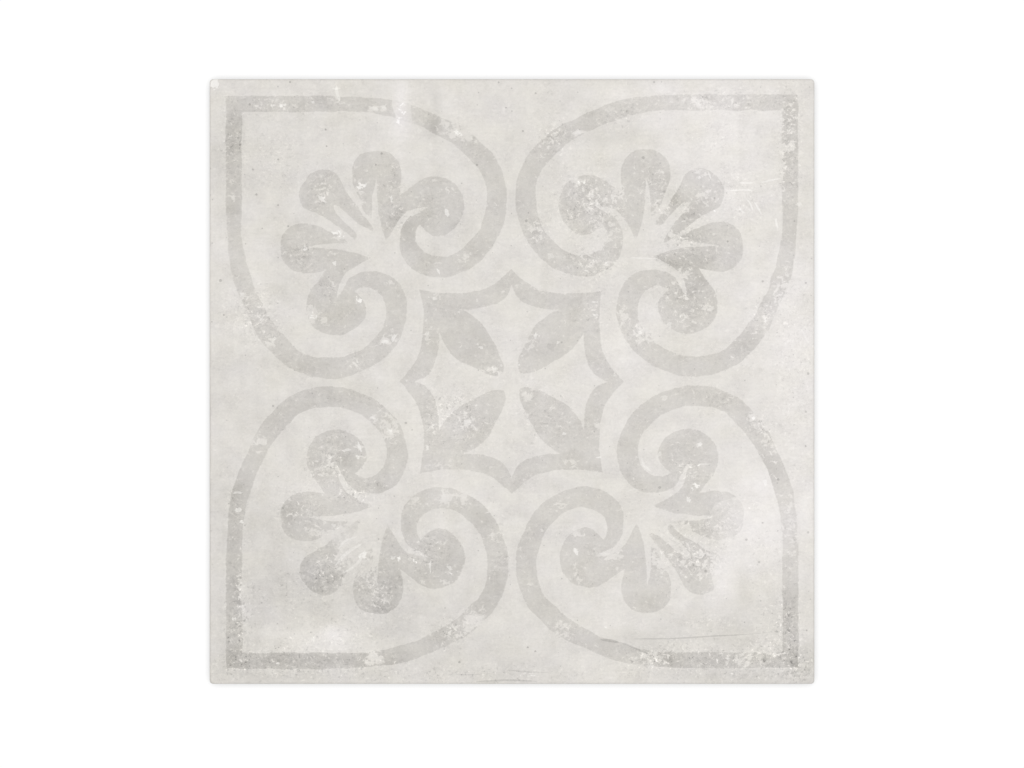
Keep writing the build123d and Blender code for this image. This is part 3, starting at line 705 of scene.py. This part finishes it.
def fired_body(settings):
    """Bare porcelain body, pressed in a die and fired, with the glaze lapping over its top."""
    # To the eye it is pale, chalky and dull, with small iron specks and white kiln wash on the ribs.
    material = bpy.data.materials.new("fired_porcelain_body")
    material.use_nodes = True
    tree = material.node_tree
    shader = tree.nodes["Principled BSDF"]
    shader.inputs["IOR"].default_value = CERAMIC_IOR
    place = add(tree, "ShaderNodeTexCoord").outputs["Object"]
    up = add(tree, "ShaderNodeSeparateXYZ", (place,)).outputs["Z"]
    layer = lay_patterns(tree, place, BODY_PATTERNS)

    # White kiln wash on what stood on the kiln's shelf, and the glaze at the top of the edge
    rubbed = {"Value": layer["wash"], "From Min": WASH_FROM, "From Max": WASH_TO, "To Max": WASH_COVER}
    low = {"Value": up, "From Min": WASH_REACH * MM, "From Max": 0.0}
    both = [add(tree, "ShaderNodeMapRange", reach) for reach in (rubbed, low)]
    washed = {0: add(tree, "ShaderNodeMath", both, operation="MULTIPLY")}
    washed |= {6: settings.body_colour, 7: settings.engobe_colour}
    colour = add(tree, "ShaderNodeMix", washed, data_type="RGBA")
    ragged = add(tree, "ShaderNodeMath", (layer["lap"], LAP_RAGGED * MM, up), operation="MULTIPLY_ADD")
    lap_end = (TILE_THICKNESS - LAP_DEPTH + LAP_RAGGED * PATTERN_MIDDLE) * MM
    reach = {"Value": ragged, "From Min": lap_end, "From Max": lap_end + LAP_FADE * MM}
    lap = add(tree, "ShaderNodeMapRange", reach)
    colour = add(tree, "ShaderNodeMix", {0: lap, 6: colour, 7: settings.ground_colour}, data_type="RGBA")

    tone = pulled(tree, layer, BODY_SHARES, 1 - PATTERN_MIDDLE * sum(BODY_SHARES.values()))
    cells = add(tree, "ShaderNodeTexVoronoi", {"Vector": place, "Scale": 1 / (IRON_PITCH * MM)})
    chance = add(tree, "ShaderNodeSeparateColor", (cells.outputs["Color"],))
    size = add(tree, "ShaderNodeMapRange", {"Value": chance, "To Max": IRON_RADIUS / IRON_PITCH})
    speck = add(tree, "ShaderNodeMath", (cells.outputs["Distance"], size), operation="LESS_THAN")
    tone = add(tree, "ShaderNodeMath", (speck, IRON_TONE, tone), operation="MULTIPLY_ADD")
    toned = add(tree, "ShaderNodeVectorMath", {0: colour, "Scale": tone}, operation="SCALE")
    tree.links.new(toned.outputs[0], shader.inputs["Base Color"])

    gloss = {"Value": layer["clay"], "To Min": DENSE_BODY, "To Max": DRY_BODY}
    tree.links.new(add(tree, "ShaderNodeMapRange", gloss).outputs[0], shader.inputs["Roughness"])
    height = add(tree, "ShaderNodeMath", (layer["chalk"], layer["scoring"]), operation="ADD")
    relief = {"Height": height, "Strength": BODY_BUMP, "Distance": BODY_RELIEF * MM}
    tree.links.new(add(tree, "ShaderNodeBump", relief).outputs[0], shader.inputs["Normal"])
    return material


FACE_STEP = 0.8  # between the points inside the face's mesh, in mm
OUTLINE_STEP = 0.5  # between the points along an outline, in mm
OUTLINE_CLEAR = 0.55  # least distance of an inside point from an outline's, in steps
WAVERS = ((4.0, 0.32), (1.3, 0.18))  # how the print's edge strays: length and reach of a wave, in mm
WAVER_LEVELS = (0.3, 40.3)  # at which the noise is cut for the stray across and up
SWELLS = ((14.0, 1.0), (4.0, 0.5))  # how the face swells: length of a wave in mm, and its share
EDGE_STEP = 1.0  # between the points along the tile's edge, in mm
CORNER_STEPS = 6
ARRIS_STEPS = 6
BARE_LEVELS = 2  # of the edge, below the arris: its bevel and its upright side
PIT_SIDES = 8
FLECK_SIDES = 11
FLECK_RAGGEDNESS = 0.8
FLECK_STRIDE = 3  # through the noise, from one point of a fleck to the next
FLECK_LEVEL = 0.5  # at which that noise is cut
INSIDE_OUTLINES, MERGE_WITHIN = 1, 1e-5  # what is filled, and how near two points in mm are one
SHARP_FROM = math.radians(30)
GLAZED, BARE_BODY = 0, 1  # material slots
MAP_MARGIN = 0.01  # of the map that the finishes are baked to
MAP_FACE_SHARE = 0.7  # of its side, for the face with its edge folded out
MAP_BACK_SHARE = 0.27


def rounded_square(half, radius, side_steps, corner_steps):
    """Points round a square with round corners, anticlockwise, in mm."""
    reach = half - radius
    points = []
    for quarter in range(4):
        turn = quarter * math.pi / 2
        along = (-math.sin(turn), math.cos(turn))
        out = (math.cos(turn), math.sin(turn))
        for i in range(side_steps):
            shift = reach * (2 * i / side_steps - 1)
            points.append(tuple(half * o + shift * a for o, a in zip(out, along)))
        for i in range(corner_steps):
            angle = turn + math.pi / 2 * i / corner_steps
            centre = tuple(reach * (o + a) for o, a in zip(out, along))
            points.append((centre[0] + radius * math.cos(angle), centre[1] + radius * math.sin(angle)))
    return points


def smooth_run(run, step):
    """Points along a run of an outline, without its last one."""
    points = [Vector(p) for p in run]
    if len(points) == 2:
        steps = max(1, round((points[1] - points[0]).length / step))
        return [points[0].lerp(points[1], i / steps) for i in range(steps)]
    points = [2 * points[0] - points[1], *points, 2 * points[-1] - points[-2]]
    curve = []
    for before, start, end, after in zip(points, points[1:], points[2:], points[3:]):
        first, middle, last = ((b - a).length for a, b in ((before, start), (start, end), (end, after)))
        leave = ((start - before) / first * middle + (end - start) / middle * first) / (first + middle)
        arrive = ((end - start) / middle * last + (after - end) / last * middle) / (middle + last)
        handles = (start + leave * middle / 3, end - arrive * middle / 3)
        steps = max(1, round(middle / step))
        curve.extend(interpolate_bezier(start, *handles, end, steps + 1)[:-1])
    return curve


def anticlockwise(points):
    """The points of an outline in anticlockwise order."""
    area = sum(a.x * b.y - a.y * b.x for a, b in zip(points, points[1:] + points[:1]))
    return points if area > 0 else points[::-1]


def wavered(point):
    """A point of the print's edge, moved as far as the edge strays there."""
    moved = point.copy()
    for length, reach in WAVERS:
        place = point / length
        moved += reach * Vector([noise.noise((*place, level)) for level in WAVER_LEVELS])
    return moved


def ornament_outlines():
    """Every outline of the ornament, anticlockwise, in mm."""
    outlines = []
    for (across, up, swapped), slip in HEART_SLIPS.items():
        clockwise = (across * up > 0) == swapped
        petal, star = (LONG_PETAL, FLAT_STAR) if clockwise else (SHORT_PETAL, FULL_STAR)
        for runs, slipped in ((HALF_HEART, slip), (petal, slip), (star, (0.0, 0.0))):
            points = [p.yx if swapped else p for run in runs for p in smooth_run(run, OUTLINE_STEP)]
            shift = Vector(PRINT_SLIP) + Vector(slipped)
            points = [wavered(Vector((p.x * across, p.y * up)) + shift) for p in points]
            outlines.append(anticlockwise(points))
    return outlines


def stroke_outline(points, width):
    """Outline of a thin stroke that tapers to its two ends, anticlockwise, in mm."""
    line = [*smooth_run(points, OUTLINE_STEP), Vector(points[-1])]
    right, left = [], []
    for i in range(1, len(line) - 1):
        along = (line[i + 1] - line[i - 1]).normalized()
        taper = math.sqrt(math.sin(math.pi * i / (len(line) - 1)))
        across = Vector((-along.y, along.x)) * width / 2 * taper
        right.append(line[i] - across)
        left.append(line[i] + across)
    return [line[0], *right, line[-1], *reversed(left)]


def fleck_outline(across, up, width, height, turn=0):
    """Outline of a ragged fleck, anticlockwise, in mm."""
    outline = []
    for i in range(FLECK_SIDES):
        angle = 2 * math.pi * i / FLECK_SIDES
        ragged = 1 + FLECK_RAGGEDNESS * noise.noise((across + FLECK_STRIDE * i, up, FLECK_LEVEL))
        point = Vector((width * math.cos(angle), height * math.sin(angle))) * ragged
        outline.append(Vector((across, up)) + Matrix.Rotation(math.radians(turn), 2) @ point)
    return outline


def pit_outline(across, up, radius):
    """Outline of a pit, anticlockwise, in mm."""
    turns = (2 * math.pi * i / PIT_SIDES for i in range(PIT_SIDES))
    return [Vector((across + radius * math.cos(t), up + radius * math.sin(t))) for t in turns]


def patches(points, table):
    """Sum of soft patches at each point, as a table of them says."""
    total = np.zeros(len(points))
    for across, up, width, height, amount, *turn in table:
        angle = math.radians(*turn) if turn else 0.0
        c, s = math.cos(angle), math.sin(angle)
        dx, dy = points[:, 0] - across, points[:, 1] - up
        far = ((dx * c + dy * s) / width) ** 2 + ((dy * c - dx * s) / height) ** 2
        total += amount * np.exp(-far)
    return total


class TileMesh:
    """Collects the tile's vertices and faces, in mm."""

    def __init__(self):
        self.vertices = []
        self.unrolled = []  # where each vertex lies when the edge is folded out level with the face
        self.faces = []
        self.looks = []  # of each face: material slot, on the back or not, share of print, mark's amount

    def ring(self, points, z, unrolled=None):
        start = len(self.vertices)
        self.vertices.extend((x, y, z) for x, y in points)
        self.unrolled.extend(unrolled or points)
        return list(range(start, len(self.vertices)))

    def face(self, corners, material, back=False, printed=0.0, mark=0.0):
        self.faces.append(tuple(corners))
        self.looks.append((material, back, printed, mark))

    def strip(self, lower, upper, material, back=False):
        for i in range(len(lower)):
            j = (i + 1) % len(lower)
            self.face((lower[i], lower[j], upper[j], upper[i]), material, back)


def fill_face(tile, ring):
    """Fills the decorated face inside a ring, with the outlines of print and marks as edges of the mesh."""
    loops = [[Vector(tile.vertices[i][:2]) for i in ring], *ornament_outlines()]
    first_thinned = len(loops)
    for points, _ in THINNED:
        loops.append(anticlockwise(smooth_run((*points, points[0]), OUTLINE_STEP)))
    first_mark = len(loops)
    marks = []
    for points, width, amount in STROKES:
        loops.append(stroke_outline(points, width))
        marks.append(amount)
    for across, up, width, height, amount, *turn in FLECKS:
        loops.append(fleck_outline(across, up, width, height, *turn))
        marks.append(amount)
    for pit in PITS:
        loops.append(pit_outline(*pit))
        marks.append(PIT_AMOUNT)
    points = [p for loop in loops for p in loop]
    corners = []
    for loop in loops:
        start = corners[-1][-1] + 1 if corners else 0
        corners.append(list(range(start, start + len(loop))))
    depths = {}
    for across, up, _ in PITS:
        depths[len(points)] = PIT_DEPTH
        points.append(Vector((across, up)))

    # Points between the outlines, in staggered rows
    near = KDTree(len(points))
    for i, p in enumerate(points):
        near.insert((p.x, p.y, 0), i)
    near.balance()
    half = max(p.x for p in loops[0])
    rows = int(2 * half / FACE_STEP)
    step = 2 * half / rows
    for row in range(1, rows):
        for column in range(rows):
            x = -half + (column + 0.25 + 0.5 * (row % 2)) * step
            y = -half + row * step
            if near.find((x, y, 0))[2] > OUTLINE_CLEAR * step:
                points.append(Vector((x, y)))

    filled = delaunay_2d_cdt(points, [], corners, INSIDE_OUTLINES, MERGE_WITHIN, True)
    made, _, faces, from_points, _, from_loops = filled
    place = {}
    for i, (p, sources) in enumerate(zip(made, from_points)):
        on_ring = [s for s in sources if s < len(ring)]
        if on_ring:
            place[i] = ring[on_ring[0]]
        else:
            depth = max((depths.get(s, 0.0) for s in sources), default=0.0)
            place[i] = tile.ring([(p.x, p.y)], TILE_THICKNESS - depth)[0]
    for face, sources in zip(faces, from_loops):
        printed = float(any(0 < s < first_thinned for s in sources))
        for s in sources:
            if first_thinned <= s < first_mark:
                printed *= THINNED[s - first_thinned][1]
        mark = sum(marks[s - first_mark] for s in sources if s >= first_mark)
        tile.face([place[i] for i in face], GLAZED, printed=printed, mark=mark)


def fill_back(tile, ring, settings):
    """Fills the back inside a ring, with its lattice of keys."""
    points = [Vector(tile.vertices[i][:2]) for i in ring]
    indices = list(ring)
    loops = [list(range(len(points)))]
    depth = settings.key_depth / MM
    lean = depth * math.tan(settings.key_draft)
    half, radius = settings.key_side / MM / 2, settings.key_floor_radius / MM
    mouth = rounded_square(half, radius + lean, 1, CORNER_STEPS)
    floor = rounded_square(half - lean, radius, 1, CORNER_STEPS)
    middle = (settings.keys_each_way - 1) / 2
    for i in range(settings.keys_each_way):
        for j in range(settings.keys_each_way):
            x, y = ((k - middle) * settings.key_pitch / MM for k in (i, j))
            at_mouth = tile.ring([(x + a, y + b) for a, b in mouth], 0.0)
            at_floor = tile.ring([(x + a, y + b) for a, b in floor], depth)
            tile.strip(at_floor, at_mouth, BARE_BODY, back=True)
            tile.face(reversed(at_floor), BARE_BODY, back=True)
            loops.append(list(range(len(points), len(points) + len(mouth))))
            points.extend(Vector((x + a, y + b)) for a, b in mouth)
            indices.extend(at_mouth)
    filled = delaunay_2d_cdt(points, [], loops, INSIDE_OUTLINES, MERGE_WITHIN, True)
    _, _, faces, from_points, _, from_loops = filled
    for face, sources in zip(faces, from_loops):
        if not any(s > 0 for s in sources):
            tile.face([indices[from_points[i][0]] for i in reversed(face)], BARE_BODY, back=True)


def edge_profile(settings):
    """Points (inset, height) from the back's bevel up the edge and over the arris, in mm."""
    bevel = settings.back_bevel / MM
    arris = settings.arris_radius / MM
    profile = [(bevel, 0.0), (0.0, bevel)]
    for i in range(ARRIS_STEPS + 1):
        angle = math.pi / 2 * i / ARRIS_STEPS
        profile.append((arris * (1 - math.cos(angle)), TILE_THICKNESS - arris * (1 - math.sin(angle))))
    return profile


def raise_edge(tile, settings):
    """Builds the edge, and returns the rings round the back and round the face."""
    half = TILE_SIDE / 2
    corner = settings.corner_radius / MM
    side_steps = round(TILE_SIDE / EDGE_STEP)
    profile = edge_profile(settings)
    rings = []
    for level, (inset, z) in enumerate(profile):
        outline = rounded_square(half - inset, corner - inset, side_steps, CORNER_STEPS)
        above = profile[level:]
        folded = sum(math.dist(a, b) for a, b in zip(above, above[1:])) - above[-1][0]
        unrolled = rounded_square(half + folded, corner + folded, side_steps, CORNER_STEPS)
        rings.append(tile.ring(outline, z, unrolled))
    for level, (lower, upper) in enumerate(zip(rings, rings[1:])):
        tile.strip(lower, upper, BARE_BODY if level < BARE_LEVELS else GLAZED)
    return rings[0], rings[-1]


def swelled(tile, settings):
    """The tile's vertices, with the face softly uneven and chipped, in mm."""
    points = np.array(tile.vertices)
    arris = settings.arris_radius / MM
    raised = np.clip((points[:, 2] - TILE_THICKNESS + arris) / arris, 0, 1)
    waves = sum(s * np.array([noise.noise(Vector(p) / length) for p in points]) for length, s in SWELLS)
    swelling = waves / sum(share for _, share in SWELLS)
    drop = settings.swell / MM * np.clip(0.5 - swelling, 0, 1) + patches(points, DENTS)
    points[:, 2] -= raised * drop
    return points


def paint_values(mesh, tile, points, settings):
    """Writes what the glaze reads into the mesh: print and marks by face, the tile's age by point."""
    material, _, printed, mark = np.array(tile.looks).T
    mesh.polygons.foreach_set("material_index", material.astype(np.int32))

    # Distance from the print's outlines, for its edge
    sides = {}
    for polygon, print_here in zip(mesh.polygons, printed):
        for key in polygon.edge_keys:
            sides.setdefault(key, set()).add(print_here > 0)
    on_outline = {v for key, found in sides.items() if len(found) > 1 for v in key}
    near = KDTree(len(on_outline))
    for i in sorted(on_outline):
        near.insert(points[i], i)
    near.balance()
    layers = {"rim": np.array([near.find(p)[2] for p in points])}
    for name, table in PAINTED.items():
        layers[name] = settings.age * patches(points, table)
    layers["cloud"] /= 100  # from percent
    for domain, values in (("FACE", {"print": printed, "mark": mark}), ("POINT", layers)):
        for name, value in values.items():
            painted = mesh.attributes.new(name, "FLOAT", domain)
            painted.data.foreach_set("value", value.astype(np.float32))


def lay_bake_map(mesh, tile):
    """Lays the map for baked finishes: the face large, with its edge folded out, and the back small."""
    corners = np.zeros(len(mesh.loops), dtype=np.int32)
    mesh.loops.foreach_get("vertex_index", corners)
    on_back = np.repeat([look[1] for look in tile.looks], [len(face) for face in tile.faces])
    folded = np.array(tile.unrolled)[corners]
    front = MAP_MARGIN + MAP_FACE_SHARE * (folded / (2 * folded.max()) + 0.5)
    seen_from_below = np.array(tile.vertices)[corners, :2] * (-1, 1)
    back = 1 - MAP_MARGIN - MAP_BACK_SHARE * (0.5 - seen_from_below / TILE_SIDE)
    places = np.where(on_back[:, None], back, front)
    mesh.uv_layers.new(name="OFBake").data.foreach_set("uv", places.ravel().astype(np.float32))


class MESH_OT_add_patterned_tile(bpy.types.Operator):
    """Builds the tile in place of its plain solid"""

    bl_idname = "mesh.add_patterned_tile"
    bl_label = "Patterned Tile"

    def execute(self, context):
        settings = context.scene.patterned_tile
        tile = TileMesh()
        round_back, round_face = raise_edge(tile, settings)
        fill_back(tile, round_back, settings)
        fill_face(tile, round_face)
        points = swelled(tile, settings)

        mesh = bpy.data.meshes.new("patterned_tile")
        mesh.from_pydata((points * MM).tolist(), [], tile.faces)
        paint_values(mesh, tile, points, settings)
        lay_bake_map(mesh, tile)
        mesh.polygons.foreach_set("use_smooth", [True] * len(mesh.polygons))
        mesh.set_sharp_from_angle(angle=SHARP_FROM)
        mesh.materials.append(matt_printed_glaze(settings))
        mesh.materials.append(fired_body(settings))
        if mesh.validate():
            raise RuntimeError("the tile's mesh had faults")

        piece = bpy.data.objects.new("patterned_tile", mesh)
        context.scene.collection.objects.link(piece)
        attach(piece, "root")
        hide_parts("tile")
        return {"FINISHED"}


PHOTO_WIDTH = 1024  # of the image, in pixels
TILE_PIXELS = 605.0  # the tile's width in the image
TILE_CENTRE_SHIFT = (0.0, 2.5)  # of the tile's middle from the image's, right and up, in pixels
SENSOR = 36.0  # in mm
FLOOR_REACH = 3.0
FLOOR_GAP = 0.05 * MM  # under the tile
PAINTED_SHADOW_REACH = 3 * MM  # of the painted shadow round the base of the tile, a soft dark line
PAINTED_SHADOW_SAMPLES = 8
PAINTED_SHADOW_FROM = 0.5  # of the open sky, where that painted shadow is darkest
PAINTED_SHADOW_GLOW, OPEN_GLOW = 0.62, 0.89  # what the floor sends to the camera in the painted shadow and elsewhere
SHADOW_SHARE = 0.15  # of the light on the floor that the camera sees, so that shadows show


def white_paper(settings):
    """Matt white paper, uncoated."""
    # To the eye it is even and near white, apart from the tile's shadow: a faint real shadow, and a painted
    # shadow close round its base, where an ambient occlusion node dims the glow. The tile sees it a little
    # darker.
    material = bpy.data.materials.new("white_paper")
    material.use_nodes = True
    tree = material.node_tree
    tree.nodes.clear()
    rays = add(tree, "ShaderNodeLightPath").outputs
    seen = rays["Is Camera Ray"]
    for ray in ("Is Glossy Ray", "Is Transmission Ray"):
        seen = add(tree, "ShaderNodeMath", (seen, rays[ray]), operation="MAXIMUM")
    pale = add(tree, "ShaderNodeBsdfDiffuse", {"Color": settings.floor_colour})
    # Painted shadow: an ambient occlusion node dims the glow that the camera sees close round the tile
    shadow_occlusion = add(tree, "ShaderNodeAmbientOcclusion", {"Distance": PAINTED_SHADOW_REACH}, samples=PAINTED_SHADOW_SAMPLES)
    painted_shadow = {"Value": shadow_occlusion.outputs["AO"], "From Min": PAINTED_SHADOW_FROM}
    painted_shadow |= {"To Min": PAINTED_SHADOW_GLOW, "To Max": OPEN_GLOW}
    glow = add(tree, "ShaderNodeEmission", {"Strength": add(tree, "ShaderNodeMapRange", painted_shadow)})
    shade = add(tree, "ShaderNodeBsdfDiffuse", {"Color": (SHADOW_SHARE, SHADOW_SHARE, SHADOW_SHARE, 1.0)})
    white = add(tree, "ShaderNodeAddShader", (shade, glow))
    either = add(tree, "ShaderNodeMixShader", (seen, pale, white))
    add(tree, "ShaderNodeOutputMaterial", {"Surface": either})
    return material


class SCENE_OT_set_tile_stage(bpy.types.Operator):
    """Lays the floor and sets the lights and the camera"""

    bl_idname = "scene.set_tile_stage"
    bl_label = "Stage"

    def execute(self, context):
        scene = context.scene
        settings = scene.tile_stage
        world = bpy.data.worlds.new("studio")
        scene.world = world
        world.use_nodes = True
        background = world.node_tree.nodes["Background"]
        background.inputs["Color"].default_value = linear("#FFFFFF")
        background.inputs["Strength"].default_value = settings.sky_share

        lamp = bpy.data.lights.new("overhead_softbox", "AREA")
        lamp.shape = "DISK"
        lamp.size = settings.lamp_size
        lamp.energy = settings.lamp_share * (math.pi * settings.lamp_height) ** 2
        softbox = bpy.data.objects.new("overhead_softbox", lamp)
        softbox.location = (0.0, 0.0, TILE_HIGH.z + settings.lamp_height)
        scene.collection.objects.link(softbox)

        mesh = bpy.data.meshes.new("floor")
        corners = [(x * FLOOR_REACH, y * FLOOR_REACH, 0) for x, y in ((-1, -1), (1, -1), (1, 1), (-1, 1))]
        mesh.from_pydata(corners, [], [(0, 1, 2, 3)])
        mesh.materials.append(white_paper(settings))
        floor = bpy.data.objects.new("floor", mesh)
        floor.location.z = TILE_LOW.z - FLOOR_GAP
        scene.collection.objects.link(floor)

        camera = bpy.data.cameras.new("camera")
        camera.lens = settings.lens
        camera.sensor_width = SENSOR
        pixel = TILE_SIDE * MM / TILE_PIXELS
        right, up = TILE_CENTRE_SHIFT
        distance = pixel * PHOTO_WIDTH * settings.lens / SENSOR
        eye = bpy.data.objects.new("camera", camera)
        eye.location = (-right * pixel, -up * pixel, TILE_HIGH.z + distance)
        scene.collection.objects.link(eye)
        scene.camera = eye
        scene.view_settings.view_transform = "Standard"
        return {"FINISHED"}


class VIEW3D_PT_patterned_tile(bpy.types.Panel):
    """The tile's settings and operators"""

    bl_label = "Patterned Tile"
    bl_space_type = "VIEW_3D"
    bl_region_type = "UI"
    bl_category = "Tile"

    def draw(self, context):
        for settings, operator in zip((context.scene.patterned_tile, context.scene.tile_stage), OPERATORS):
            for name in settings.__annotations__:
                self.layout.prop(settings, name)
            self.layout.operator(operator.bl_idname)


OPERATORS = (MESH_OT_add_patterned_tile, SCENE_OT_set_tile_stage)
CLASSES = (PatternedTileSettings, TileStageSettings, *OPERATORS, VIEW3D_PT_patterned_tile)


def register():
    for cls in CLASSES:
        bpy.utils.register_class(cls)
    bpy.types.Scene.patterned_tile = bpy.props.PointerProperty(type=PatternedTileSettings)
    bpy.types.Scene.tile_stage = bpy.props.PointerProperty(type=TileStageSettings)


def unregister():
    del bpy.types.Scene.tile_stage
    del bpy.types.Scene.patterned_tile
    for cls in reversed(CLASSES):
        bpy.utils.unregister_class(cls)


def main():
    register()
    bpy.ops.mesh.add_patterned_tile()
    bpy.ops.scene.set_tile_stage()


if __name__ == "__main__":
    main()
